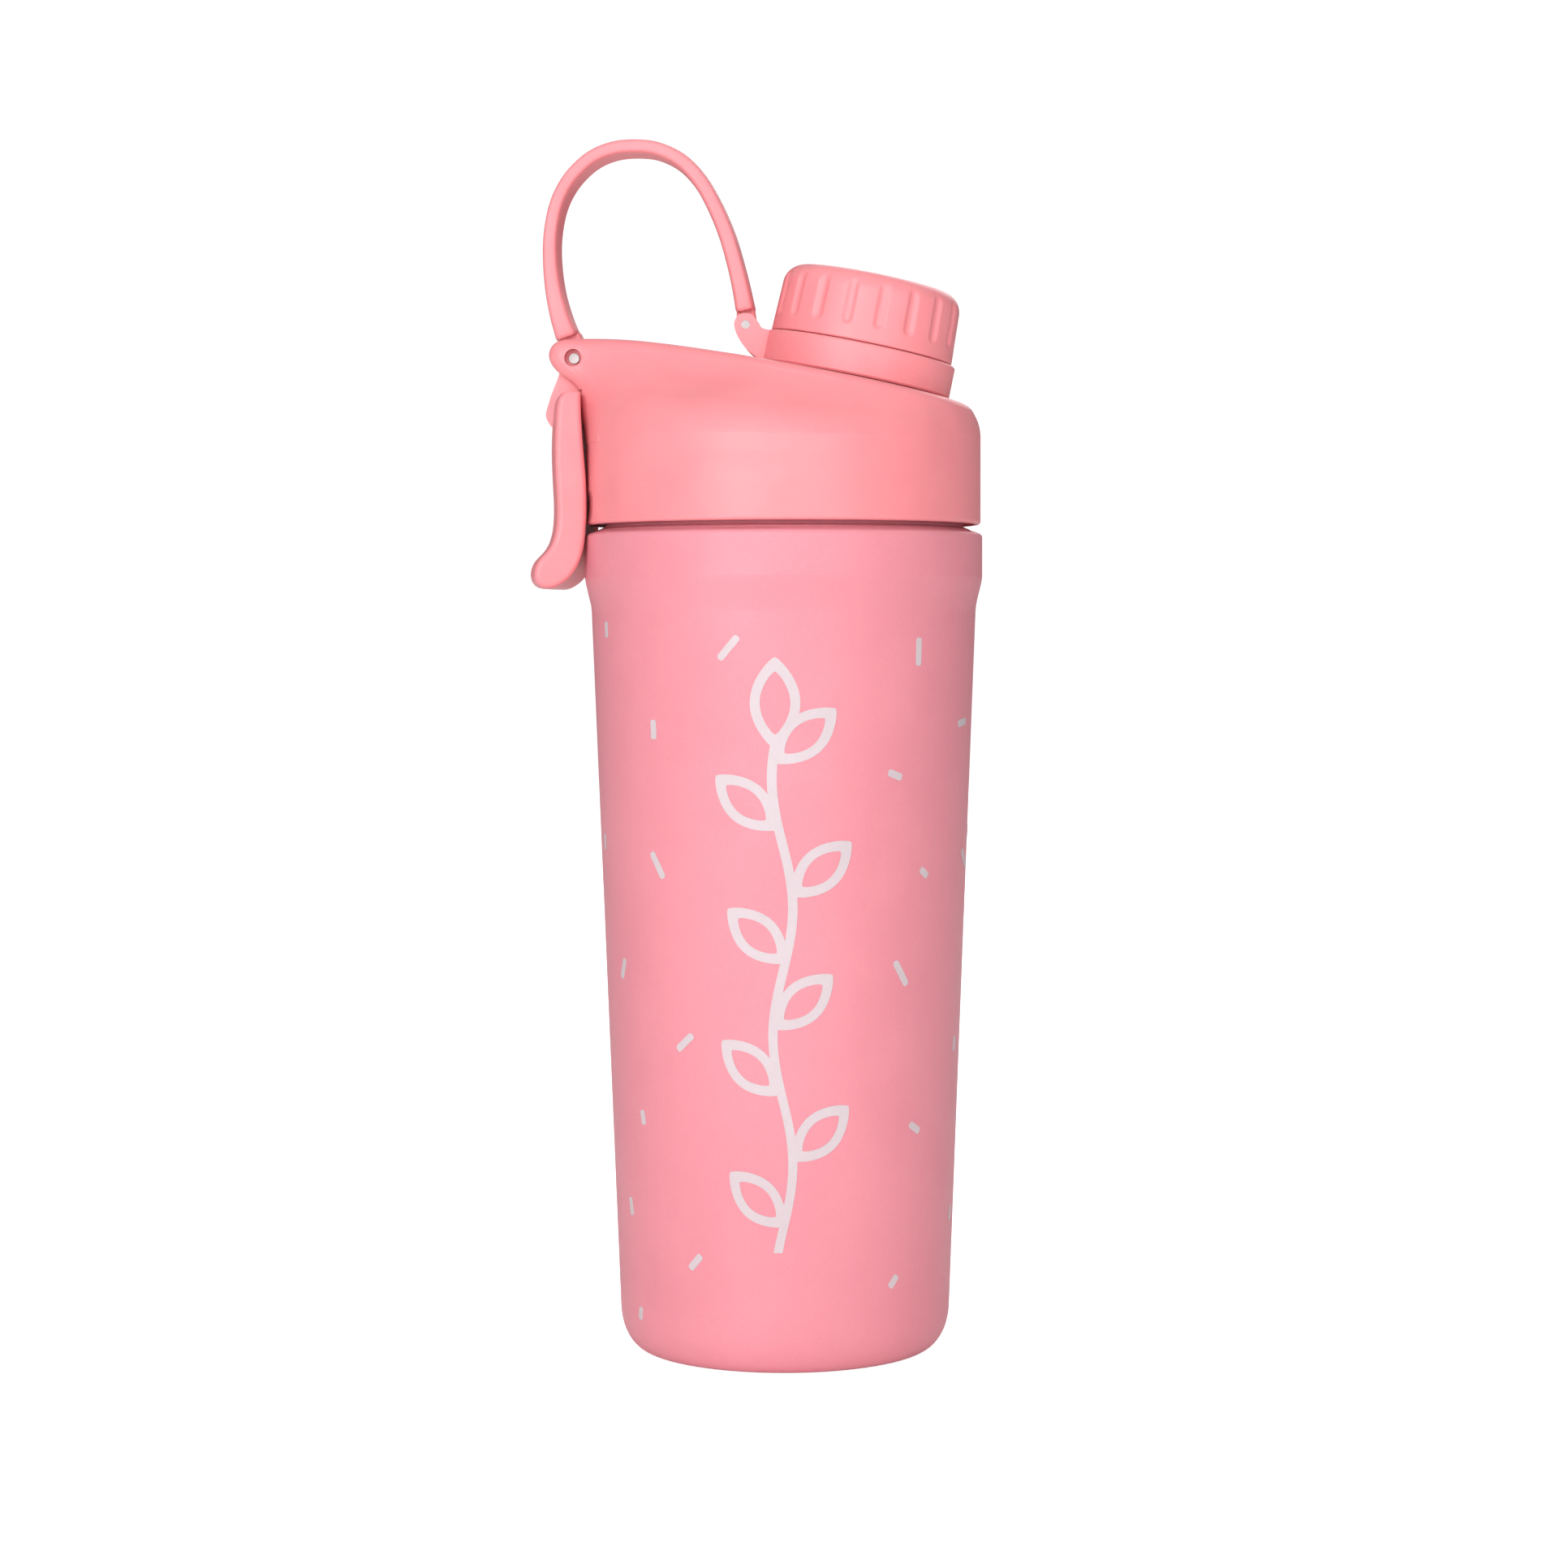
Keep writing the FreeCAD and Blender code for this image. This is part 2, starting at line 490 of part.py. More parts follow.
# ---- Carry clip: a curved plate with a flared lip, hung from the hinge pin by two lugs ----
plate = Outline(46.9, 218.3)
plate.curve((46.8, 212.0), (46.3, 205.0), (45.75, 197.0), (45.85, 188.0), (46.4, 183.5), (47.7, 179.6),
            (49.7, 176.7), (52.0, 175.0), (54.5, 174.3), (56.5, 174.8), (57.6, 176.4), (57.6, 178.5),
            (56.7, 180.5), (55.2, 182.1), (53.8, 184.0), (52.8, 187.0), (52.4, 191.0), (52.6, 198.0),
            (52.8, 207.0), (52.4, 214.0), (51.8, 217.0), (50.8, 218.3))
sector = plate.face()
sector.rotate(ORIGIN, UP, 180 - CLIP_HALF_ANGLE)
clip = sector.revolve(ORIGIN, UP, 2 * CLIP_HALF_ANGLE)
end_edges = [e for e in clip.Edges if e.Length > 60]
clip = clip.makeFillet(1.2, end_edges)
knuckle = Outline(-49.6, 211.0).line((-52.4, 211.0))
knuckle.curve((-53.2, 212.2), (-53.7, 213.6), (-53.4, 215.2), (-52.9, 216.8), (-52.3, 218.6),
              (-51.4, 220.8), (-50.6, 223.0), (PIN_X - CLIP_EYE, PIN_Z))
knuckle.line((PIN_X + CLIP_EYE, PIN_Z), (-44.2, 223.6), (-45.7, 219.0), (-46.4, 215.0), (-47.2, 211.0))
hanger = knuckle.slab(CLIP_LUG_OUT).fuse(rod(CLIP_EYE, PIN_X, PIN_Z, CLIP_LUG_OUT))
hanger = hanger.cut(rod(6.2, PIN_X, PIN_Z, CLIP_LUG_IN))
hanger = hanger.cut(rod(PIN_RADIUS + PIN_FIT, PIN_X, PIN_Z, 20))
save("carry_clip", clip.fuse(hanger))
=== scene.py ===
# %% [markdown]
# # A pink insulated shaker bottle
# This lesson dresses a finished CAD model of a shaker bottle for a studio picture. The CAD solids already
# have the right size and place, so they stay where they are and get their real finishes. A few pieces are
# made again here, because a mesh tool gives them something the CAD solid lacks: one whole strap, soft
# finger grooves in the cap, and the thin print on the vessel.

# %% Load the bottle
import math
import random

import bmesh
import bpy
from mathutils import Matrix, Vector


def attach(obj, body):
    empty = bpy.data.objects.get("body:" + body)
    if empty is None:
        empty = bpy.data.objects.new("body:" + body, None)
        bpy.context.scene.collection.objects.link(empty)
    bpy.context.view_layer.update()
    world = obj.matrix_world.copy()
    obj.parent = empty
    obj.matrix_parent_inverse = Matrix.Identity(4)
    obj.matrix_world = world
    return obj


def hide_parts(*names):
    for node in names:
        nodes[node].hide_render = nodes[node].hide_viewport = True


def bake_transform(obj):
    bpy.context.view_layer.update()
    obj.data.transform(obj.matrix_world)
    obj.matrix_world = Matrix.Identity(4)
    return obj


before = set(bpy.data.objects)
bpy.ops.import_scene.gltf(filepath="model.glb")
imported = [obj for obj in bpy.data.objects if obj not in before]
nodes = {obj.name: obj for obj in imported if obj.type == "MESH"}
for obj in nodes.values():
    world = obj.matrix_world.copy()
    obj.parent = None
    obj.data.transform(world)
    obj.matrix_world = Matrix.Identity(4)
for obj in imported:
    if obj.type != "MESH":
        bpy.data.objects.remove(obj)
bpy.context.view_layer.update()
MM = 0.001

# %% [markdown]
# ## Small helpers
# Every new piece starts as an empty bmesh and ends as an object at the origin, with its place in its mesh.
# Lengths are typed in millimetres, as on the drawing, and scaled once at the end.

# %% Turn a bmesh into a smooth piece
MERGE_DISTANCE = 0.0005


def finish_piece(bm, name, material, body=None, smooth_angle=40.0):
    """Merge a bmesh's doubles, scale it from millimetres, and hang it on a body."""
    bmesh.ops.remove_doubles(bm, verts=bm.verts, dist=MERGE_DISTANCE)
    bmesh.ops.recalc_face_normals(bm, faces=bm.faces)
    bmesh.ops.scale(bm, vec=(MM, MM, MM), verts=bm.verts)
    mesh = bpy.data.meshes.new(name)
    bm.to_mesh(mesh)
    bm.free()
    mesh.shade_smooth()
    mesh.set_sharp_from_angle(angle=math.radians(smooth_angle))
    piece = bpy.data.objects.new(name, mesh)
    bpy.context.scene.collection.objects.link(piece)
    mesh.materials.append(material)
    if body:
        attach(piece, body)
    print(name, "faces", len(mesh.polygons))
    return piece


def smooth_step(t):
    """0 below 0, 1 above 1, and a soft S between them."""
    t = min(max(t, 0.0), 1.0)
    return t * t * (3 - 2 * t)


# %% [markdown]
# ## Shared surface effects
# Several finishes use the same three effects, so each is a node group. `fine_grain` is the tiny texture of a
# powder coat or a spark-eroded mould. `soft_marks` is the broad, faint unevenness left by handling.
# `edge_rub` finds the convex edges, where colour thins and polishes first. The groups give out only masks
# and heights; the shader stays in each material.

# %% Build a node group with named sockets
def new_group(name, inputs, outputs):
    """Inputs are (label, socket type, default or None); outputs are (label, socket type)."""
    group = bpy.data.node_groups.new(name, "ShaderNodeTree")
    for label, kind, value in inputs:
        socket = group.interface.new_socket(label, in_out="INPUT", socket_type=kind)
        if value is not None:
            socket.default_value = value
    for label, kind in outputs:
        group.interface.new_socket(label, in_out="OUTPUT", socket_type=kind)
    return group, group.nodes.new("NodeGroupInput"), group.nodes.new("NodeGroupOutput")


# %% Nodes that every effect needs: noise, arithmetic and a soft threshold
def noise_node(group, vector, scale_socket, detail, roughness=0.5):
    noise = group.nodes.new("ShaderNodeTexNoise")
    noise.inputs["Detail"].default_value = detail
    noise.inputs["Roughness"].default_value = roughness
    group.links.new(vector, noise.inputs["Vector"])
    group.links.new(scale_socket, noise.inputs["Scale"])
    return noise.outputs["Fac"]


def math_node(tree, operation, first, second, clamp=False):
    """One Math node; each operand is a number or a socket."""
    node = tree.nodes.new("ShaderNodeMath")
    node.operation = operation
    node.use_clamp = clamp
    for socket, value in zip(node.inputs, (first, second)):
        if isinstance(value, (int, float)):
            socket.default_value = value
        else:
            tree.links.new(value, socket)
    return node.outputs[0]


def ramp_between(tree, value, low, high):
    """0 up to the low value, 1 from the high value, and a soft S between them."""
    node = tree.nodes.new("ShaderNodeMapRange")
    node.interpolation_type = "SMOOTHSTEP"
    node.inputs["From Min"].default_value = low
    node.inputs["From Max"].default_value = high
    tree.links.new(value, node.inputs["Value"])
    return node.outputs["Result"]


# %% [markdown]
# The grain is two layers of noise. The coarse one is the orange-peel of the coat and the fine one its
# sparkle; only the fine one's peaks become painted glints, specks of paler colour that stand in for that
# sparkle.

# %% The grain group
COARSE_SHARE, FINE_SHARE, FINE_RATIO = 0.7, 0.3, 2.3
grain_group, grain_in, grain_out = new_group(
    "fine_grain",
    [("Vector", "NodeSocketVector", None), ("Scale", "NodeSocketFloat", 2500.0)],
    [("Height", "NodeSocketFloat"), ("PaintedGlint", "NodeSocketFloat")],
)
coarse = noise_node(grain_group, grain_in.outputs["Vector"], grain_in.outputs["Scale"], 3.0, 0.6)
fine_scale = math_node(grain_group, "MULTIPLY", grain_in.outputs["Scale"], FINE_RATIO)
fine = noise_node(grain_group, grain_in.outputs["Vector"], fine_scale, 2.0)
height = math_node(grain_group, "ADD", math_node(grain_group, "MULTIPLY", coarse, COARSE_SHARE),
                   math_node(grain_group, "MULTIPLY", fine, FINE_SHARE))
grain_group.links.new(height, grain_out.inputs["Height"])
# The fine noise's peaks are also a mask for painted glints: pale specks that stand in for sparkle.
grain_group.links.new(ramp_between(grain_group, fine, 0.42, 0.72), grain_out.inputs["PaintedGlint"])
print("group", grain_group.name)

# %% [markdown]
# Hands leave marks of two sizes: clouds the width of a palm, which shift the colour a little, and smaller
# streaks, which change how sharply the surface shines.

# %% The handling-marks group
STREAK_RATIO = 3.1
marks_group, marks_in, marks_out = new_group(
    "soft_marks",
    [("Vector", "NodeSocketVector", None), ("Scale", "NodeSocketFloat", 40.0)],
    [("Mask", "NodeSocketFloat"), ("Cloud", "NodeSocketFloat")],
)
cloud = noise_node(marks_group, marks_in.outputs["Vector"], marks_in.outputs["Scale"], 4.0, 0.55)
streak_scale = math_node(marks_group, "MULTIPLY", marks_in.outputs["Scale"], STREAK_RATIO)
streak = noise_node(marks_group, marks_in.outputs["Vector"], streak_scale, 6.0, 0.65)
marks_group.links.new(ramp_between(marks_group, streak, 0.45, 0.68), marks_out.inputs["Mask"])
marks_group.links.new(ramp_between(marks_group, cloud, 0.35, 0.65), marks_out.inputs["Cloud"])
print("group", marks_group.name)

# %% [markdown]
# Pointiness is a little over one half where a surface is convex. A noise breaks the rub up, because an
# outline of one even strength would look painted on.

# %% The edge-rub group
rub_group, rub_in, rub_out = new_group(
    "edge_rub",
    [("Vector", "NodeSocketVector", None), ("Breakup", "NodeSocketFloat", 900.0)],
    [("Mask", "NodeSocketFloat")],
)
geometry = rub_group.nodes.new("ShaderNodeNewGeometry")
edge = ramp_between(rub_group, geometry.outputs["Pointiness"], 0.505, 0.56)
patchy = noise_node(rub_group, rub_in.outputs["Vector"], rub_in.outputs["Breakup"], 4.0)
rub_group.links.new(math_node(rub_group, "MULTIPLY", edge, ramp_between(rub_group, patchy, 0.3, 0.7)),
                    rub_out.inputs["Mask"])
print("group", rub_group.name)

# %% [markdown]
# ## Finishes
# All the moulded parts and the painted shell are one recipe with different numbers: a base colour that
# drifts by a few per cent, paler where an edge is rubbed, roughness that follows the handling marks, and a
# bump from the grain. Real dyed plastic isn't one flat colour, and a reader sees this drift as "material"
# without noticing it.

# %% Mix two colours, and place a group in a material
def mix_colour(tree, factor, first, second):
    node = tree.nodes.new("ShaderNodeMix")
    node.data_type = "RGBA"
    for label, value in (("Factor", factor), ("A", first), ("B", second)):
        if isinstance(value, bpy.types.NodeSocket):
            tree.links.new(value, node.inputs[label])
        else:
            node.inputs[label].default_value = value
    return node.outputs["Result"]


def place_group(tree, group, coordinates, label, value):
    node = tree.nodes.new("ShaderNodeGroup")
    node.node_tree = group
    tree.links.new(coordinates, node.inputs["Vector"])
    node.inputs[label].default_value = value
    return node


# %% One recipe for painted and moulded surfaces
MARKS_SCALE, RUB_BREAKUP = 40.0, 900.0
SKIN_RADIUS, SKIN_DEPTH = (1.0, 0.35, 0.25), 1.5


def surface(name, colour, shade, rub_and_glint_tint, roughness, roughness_drift, grain_scale, grain_depth,
            painted_glint=0.0, rub_share=0.12, specular=0.33, subsurface=0.0):
    """A painted, moulded or rubbery surface with drift, worn edges, painted glints and grain."""
    material = bpy.data.materials.new(name)
    material.use_nodes = True
    tree = material.node_tree
    shader = tree.nodes["Principled BSDF"]
    place = tree.nodes.new("ShaderNodeTexCoord").outputs["Object"]
    grain = place_group(tree, grain_group, place, "Scale", grain_scale)
    marks = place_group(tree, marks_group, place, "Scale", MARKS_SCALE)
    rub = place_group(tree, rub_group, place, "Breakup", RUB_BREAKUP)
    drifted = mix_colour(tree, marks.outputs["Cloud"], (*colour, 1), (*shade, 1))
    # Painted glints: where the fine grain peaks, pale specks are painted into the colour in place of the
    # coat's sparkle.
    glint_share = math_node(tree, "MULTIPLY", grain.outputs["PaintedGlint"], painted_glint)
    glinted = mix_colour(tree, glint_share, drifted, (*rub_and_glint_tint, 1))
    worn_share = math_node(tree, "MULTIPLY", rub.outputs["Mask"], rub_share)
    tree.links.new(mix_colour(tree, worn_share, glinted, (*rub_and_glint_tint, 1)), shader.inputs["Base Color"])
    drift = math_node(tree, "MULTIPLY", marks.outputs["Mask"], roughness_drift)
    tree.links.new(math_node(tree, "ADD", drift, roughness, clamp=True), shader.inputs["Roughness"])
    bump = tree.nodes.new("ShaderNodeBump")
    bump.inputs["Strength"].default_value = 1.0
    bump.inputs["Distance"].default_value = grain_depth * MM
    tree.links.new(grain.outputs["Height"], bump.inputs["Height"])
    tree.links.new(bump.outputs["Normal"], shader.inputs["Normal"])
    shader.inputs["Specular IOR Level"].default_value = specular
    if subsurface:
        shader.inputs["Subsurface Weight"].default_value = subsurface
        shader.inputs["Subsurface Radius"].default_value = SKIN_RADIUS
        shader.inputs["Subsurface Scale"].default_value = SKIN_DEPTH * MM
    return material


# %% [markdown]
# The lid, the cap, the clip and the strap are dyed plastic of one warm pink. The vessel's powder coat is a
# little cooler and has a coarser grain, with painted glints: fine pale specks in its colour that stand in
# for its sparkle. The plastic lets light in a short way, which softens its shadows; paint doesn't.

# %% The finishes of this bottle
PINK = (0.84, 0.268, 0.292)
PINK_SHADE = (0.81, 0.248, 0.272)
PINK_RUBBED = (0.90, 0.34, 0.37)
# The powder coat carries painted glints, pale specks in its colour that stand in for sparkle.
powder_coat = surface(
    "powder_coat", (0.735, 0.25, 0.30), (0.71, 0.235, 0.285), (0.84, 0.39, 0.44),
    roughness=0.42, roughness_drift=0.06, grain_scale=1700.0, grain_depth=0.05, painted_glint=0.16)
moulded_lid = surface(
    "moulded_lid", PINK, PINK_SHADE, PINK_RUBBED,
    roughness=0.38, roughness_drift=0.07, grain_scale=2600.0, grain_depth=0.004, specular=0.38,
    subsurface=0.15)
soft_strap = surface(
    "soft_strap", PINK, PINK_SHADE, PINK_RUBBED,
    roughness=0.42, roughness_drift=0.07, grain_scale=2600.0, grain_depth=0.003, rub_share=0.0)
liner_plastic = surface(
    "liner_plastic", (0.82, 0.24, 0.265), PINK_SHADE, PINK_RUBBED,
    roughness=0.38, roughness_drift=0.08, grain_scale=2400.0, grain_depth=0.006)
# The ink's pale specks are painted glints too.
print_ink = surface(
    "print_ink", (0.58, 0.49, 0.515), (0.56, 0.47, 0.495), (0.66, 0.59, 0.61),
    roughness=0.38, roughness_drift=0.06, grain_scale=1600.0, grain_depth=0.015, painted_glint=0.12)
silicone = surface(
    "silicone", (0.80, 0.80, 0.78), (0.76, 0.76, 0.74), (0.85, 0.85, 0.83),
    roughness=0.55, roughness_drift=0.08, grain_scale=2400.0, grain_depth=0.006, subsurface=0.1)
dyed_and_painted = (powder_coat, moulded_lid, soft_strap, liner_plastic, print_ink, silicone)
print("finishes", [material.name for material in dyed_and_painted])

# %% [markdown]
# ## Bare metal
# The inner vessel is spun steel, so its fine lines run round the axis; the pins are cut bar with turned
# ends. Both use noise that is squeezed along one direction, which makes lines instead of spots.

# %% Brushed steel
LINES_SCALE, METAL_MARKS_SCALE = 900.0, 60.0
PALER, LINE_SPREAD, LINE_STRENGTH, LINE_DEPTH = 1.12, 0.22, 0.6, 0.01


def brushed_steel(name, stretch, tint, roughness):
    """Bare metal whose lines run along the axes that the stretch makes small."""
    material = bpy.data.materials.new(name)
    material.use_nodes = True
    tree = material.node_tree
    shader = tree.nodes["Principled BSDF"]
    place = tree.nodes.new("ShaderNodeTexCoord").outputs["Object"]
    mapping = tree.nodes.new("ShaderNodeMapping")
    mapping.inputs["Scale"].default_value = stretch
    tree.links.new(place, mapping.inputs["Vector"])
    lines = place_group(tree, grain_group, mapping.outputs["Vector"], "Scale", LINES_SCALE)
    marks = place_group(tree, marks_group, place, "Scale", METAL_MARKS_SCALE)
    pale = tuple(min(1.0, share * PALER) for share in tint)
    base = mix_colour(tree, marks.outputs["Cloud"], (*tint, 1), (*pale, 1))
    tree.links.new(base, shader.inputs["Base Color"])
    spread = math_node(tree, "MULTIPLY", lines.outputs["Height"], LINE_SPREAD)
    tree.links.new(math_node(tree, "ADD", spread, roughness, clamp=True), shader.inputs["Roughness"])
    shader.inputs["Metallic"].default_value = 1.0
    bump = tree.nodes.new("ShaderNodeBump")
    bump.inputs["Strength"].default_value = LINE_STRENGTH
    bump.inputs["Distance"].default_value = LINE_DEPTH * MM
    tree.links.new(lines.outputs["Height"], bump.inputs["Height"])
    tree.links.new(bump.outputs["Normal"], shader.inputs["Normal"])
    return material


spun_steel = brushed_steel("spun_steel", (0.05, 0.05, 1.6), (0.60, 0.60, 0.61), 0.22)
pin_steel = brushed_steel("pin_steel", (1.0, 0.2, 1.0), (0.30, 0.27, 0.27), 0.34)
getter_foil = brushed_steel("getter_foil", (1.0, 1.0, 1.0), (0.45, 0.45, 0.45), 0.35)
print("metals", spun_steel.name, pin_steel.name, getter_foil.name)

# %% [markdown]
# ## Dressing the CAD nodes
# The CAD nodes keep their meshes, so only the material in each slot changes. Pieces out of sight, such as
# the liners and the seals, get finishes too, because they show when the lid or the cap comes off.

# %% Give the CAD nodes their finishes
FINISHES = {
    "outer_shell": powder_coat, "base_disc": powder_coat, "inner_vessel": spun_steel,
    "vacuum_getter": getter_foil, "lid_gasket": silicone, "cap_gasket": silicone,
    "lid_shell": moulded_lid, "tether_ring": moulded_lid, "carry_clip": moulded_lid,
    "cap_shell": moulded_lid, "lid_liner": liner_plastic, "spout": liner_plastic,
    "cap_liner": liner_plastic, "mixer_grid": liner_plastic, "main_hinge_pin": pin_steel,
    "ring_pin": pin_steel,
}
for node_name, finish in FINISHES.items():
    for slot in nodes[node_name].material_slots:
        slot.material = finish
print("dressed", len(FINISHES), "nodes")

# %% [markdown]
# ## The carry loop
# The real loop is one soft strap. The CAD model cuts it in two at its crown so that it can hinge; here it is
# one piece again, in place of the two CAD halves. A bevelled curve would change its width with its
# thickness, so a circle is reshaped into a soft-cornered rectangle and extruded from station to station
# along the strap's middle line, thick at the hinge and thin at the crown.

# %% The strap's middle line: across, height and thickness in millimetres
STRAP_LINE = [
    (-49.0, 231.4, 5.2), (-50.6, 236.0, 4.6), (-52.0, 242.0, 4.0), (-52.7, 248.5, 3.6),
    (-52.6, 255.0, 3.4), (-51.2, 261.8, 3.3), (-48.2, 267.4, 3.3), (-43.6, 271.8, 3.3),
    (-38.5, 274.0, 3.3), (-33.1, 274.5, 3.3), (-28.0, 273.8, 3.3), (-22.8, 271.2, 3.4),
    (-18.6, 266.8, 3.5), (-15.3, 261.0, 3.6), (-12.6, 254.5, 3.7), (-10.7, 248.0, 3.8),
    (-9.4, 242.5, 4.0), (-8.4, 237.2, 4.3),
]
STRAP_HALF = 6.3
STRAP_CORNER, TONGUE_CORNER = 5.0, 9.0


def between(a, b, c, d, t):
    """Catmull-Rom: a value between b and c, with a and d the values outside them."""
    bend, twist = 2 * a - 5 * b + 4 * c - d, 3 * b - a - 3 * c + d
    return 0.5 * (2 * b + (c - a) * t + bend * t * t + twist * t ** 3)


def smooth_line(points, steps):
    """Points through the stations, so that the strap has no corners."""
    result = []
    for i in range(len(points) - 1):
        before, after = points[max(i - 1, 0)], points[min(i + 2, len(points) - 1)]
        for k in range(steps):
            fours = zip(before, points[i], points[i + 1], after)
            result.append(tuple(between(*four, k / steps) for four in fours))
    result.append(points[-1])
    return result


# %% Sweep a section along a line of stations
def soft_rectangle(angle, half_thick, half_wide, corner):
    """A point on a rectangle with rounded corners; a higher corner number is a sharper corner."""
    power = 2.0 / corner
    c, s = math.cos(angle), math.sin(angle)
    return math.copysign(abs(c) ** power, c) * half_thick, math.copysign(abs(s) ** power, s) * half_wide


def sweep(bm, stations, sides=48):
    """Each station is (x, z, slope angle, half thickness, half width, corner number)."""
    ring = bmesh.ops.create_circle(bm, cap_ends=True, radius=1.0, segments=sides)["verts"]
    turns = [math.atan2(v.co.y, v.co.x) for v in ring]
    face = ring[0].link_faces[0]
    for index, (x, z, slope, half_thick, half_wide, corner) in enumerate(stations):
        if index:
            out = bmesh.ops.extrude_face_region(bm, geom=[face])["geom"]
            # The first face stays as the end cap. Later ones would be walls across the inside.
            if index > 1:
                bmesh.ops.delete(bm, geom=[face], context="FACES_ONLY")
            face = next(item for item in out if isinstance(item, bmesh.types.BMFace))
            ring = list(face.verts)
        normal = (math.sin(slope), -math.cos(slope))
        for v, turn in zip(ring, turns):
            across, wide = soft_rectangle(turn, half_thick, half_wide, corner)
            v.co = (x + normal[0] * across, wide, z + normal[1] * across)


# %% Stations along the strap itself
strap_points = smooth_line(STRAP_LINE, 5)
strap_stations = []
for i, (x, z, thick) in enumerate(strap_points):
    before, after = strap_points[max(i - 1, 0)], strap_points[min(i + 1, len(strap_points) - 1)]
    slope = math.atan2(after[1] - before[1], after[0] - before[0])
    strap_stations.append((x, z, slope, thick / 2, STRAP_HALF, STRAP_CORNER))
print("strap stations", len(strap_stations))

# %% [markdown]
# Both ends narrow to a tongue with an eye that goes round its pin. The tongue is more of the same sweep: its
# thickness grows up to the eye and then follows the eye's circle down to nothing. The strap steps down to
# each tongue at a shoulder, whose edges are tucked in so that its corners are crisp but not knife-sharp.

# %% Stations for the tongues and the shoulders
EYE_END_HALF = 0.25


def eye_stations(shoulder, eye, eye_radius, half_wide, root_half):
    """Stations from a shoulder to the far side of an eye, for a tongue of one width."""
    run = Vector((eye[0] - shoulder[0], eye[1] - shoulder[1]))
    slope = math.atan2(run.y, run.x)
    along = run.normalized()
    stations = []
    for share in (0.0, 0.35, 0.7):
        half = root_half + (eye_radius - root_half) * share
        stations.append((shoulder[0] + run.x * share, shoulder[1] + run.y * share, slope, half, half_wide,
                         TONGUE_CORNER))
    for degrees in (-15, 0, 20, 40, 55, 68, 80, 88):
        angle = math.radians(degrees)
        reach = run.length + eye_radius * math.sin(angle)
        half = max(eye_radius * math.cos(angle), EYE_END_HALF)
        stations.append((shoulder[0] + along.x * reach, shoulder[1] + along.y * reach, slope, half,
                         half_wide, TONGUE_CORNER))
    return stations


def shoulder_stations(station, inward):
    """Three stations from a tucked-in edge to the strap's full section; inward is 1 or -1."""
    x, z, slope, half_thick, half_wide, corner = station
    step = Vector((math.cos(slope), math.sin(slope))) * inward
    return [(x + step.x * run, z + step.y * run, slope, half_thick - tuck, half_wide - tuck, corner)
            for run, tuck in ((0.0, 0.45), (0.3, 0.12), (0.8, 0.0))]


# %% Sweep the whole strap
HINGE_PIN = (-46.9, 226.3)
RING_PIN = (-8.198, 233.999)
rear_tongue = eye_stations((-48.75, 231.9), HINGE_PIN, 3.1, 3.8, 2.5)
front_tongue = eye_stations((-8.45, 237.6), RING_PIN, 2.35, 2.9, 2.0)
rear_upward = [(x, z, slope + math.pi, half_thick, half_wide, corner)
               for x, z, slope, half_thick, half_wide, corner in reversed(rear_tongue)]
rear_shoulder = shoulder_stations(strap_stations[0], 1.0)
front_shoulder = shoulder_stations(strap_stations[-1], -1.0)[::-1]
whole = rear_upward + rear_shoulder + strap_stations[2:-2] + front_shoulder + front_tongue
strap = bmesh.new()
sweep(strap, whole)
carry_loop = finish_piece(strap, "carry_loop", soft_strap, smooth_angle=50.0)
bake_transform(carry_loop)
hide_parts("loop_rear", "loop_front")
print("carry loop runs from", whole[0][:2], "to", whole[-1][:2])

# %% [markdown]
# ## The screw cap
# The finger grooves are shallow hollows with soft shoulders that fade out at the cap's rounded top. Cutting
# them with rods gives hard edges, so the cap is spun from its profile in fine steps, and each point inside a
# groove is pulled in by a smooth amount instead.

# %% Spin a profile
def spin_profile(bm, profile, steps):
    """Turn a chain of (radius, height) points round the Z axis."""
    chain = [bm.verts.new((radius, 0.0, height)) for radius, height in profile]
    edges = [bm.edges.new(pair) for pair in zip(chain[:-1], chain[1:])]
    bmesh.ops.spin(bm, geom=chain + edges, cent=(0, 0, 0), axis=(0, 0, 1), angle=math.tau, steps=steps,
                   use_merge=True, use_duplicate=False)
    bmesh.ops.remove_doubles(bm, verts=bm.verts, dist=MERGE_DISTANCE)


# %% Draw the cap's profile: up the inside, round the rim, up the side and over the top
CAP_LOW, CAP_SIDE_TOP, CAP_TOP = 8.35, 19.6, 24.5
SIDE_LOW = CAP_LOW + 0.35
SIDE_RADIUS, SIDE_DRAFT, SIDE_STEPS = 20.88, 0.0405, 40
ROUND_ACROSS, ROUND_UP, ROUND_STEPS = 4.6, 4.55, 14
cap_profile = [(0.0, 22.3), (16.9, 22.3), (19.42, 19.5), (19.42, CAP_LOW + 0.15), (19.6, CAP_LOW),
               (20.45, CAP_LOW), (20.72, CAP_LOW + 0.1), (20.86, SIDE_LOW)]
for k in range(1, SIDE_STEPS + 1):
    h = SIDE_LOW + (CAP_SIDE_TOP - SIDE_LOW) * k / SIDE_STEPS
    cap_profile.append((SIDE_RADIUS - SIDE_DRAFT * (h - CAP_LOW), h))
corner_radius, corner_height = cap_profile[-1]
for k in range(1, ROUND_STEPS + 1):
    a = math.radians(90.0 * k / ROUND_STEPS)
    cap_profile.append((corner_radius - ROUND_ACROSS * (1 - math.cos(a)),
                        corner_height + ROUND_UP * math.sin(a)))
cap_profile += [(12.0, CAP_TOP - 0.08), (8.0, CAP_TOP), (3.0, CAP_TOP + 0.04), (0.0, CAP_TOP + 0.05)]
print("cap profile points", len(cap_profile))

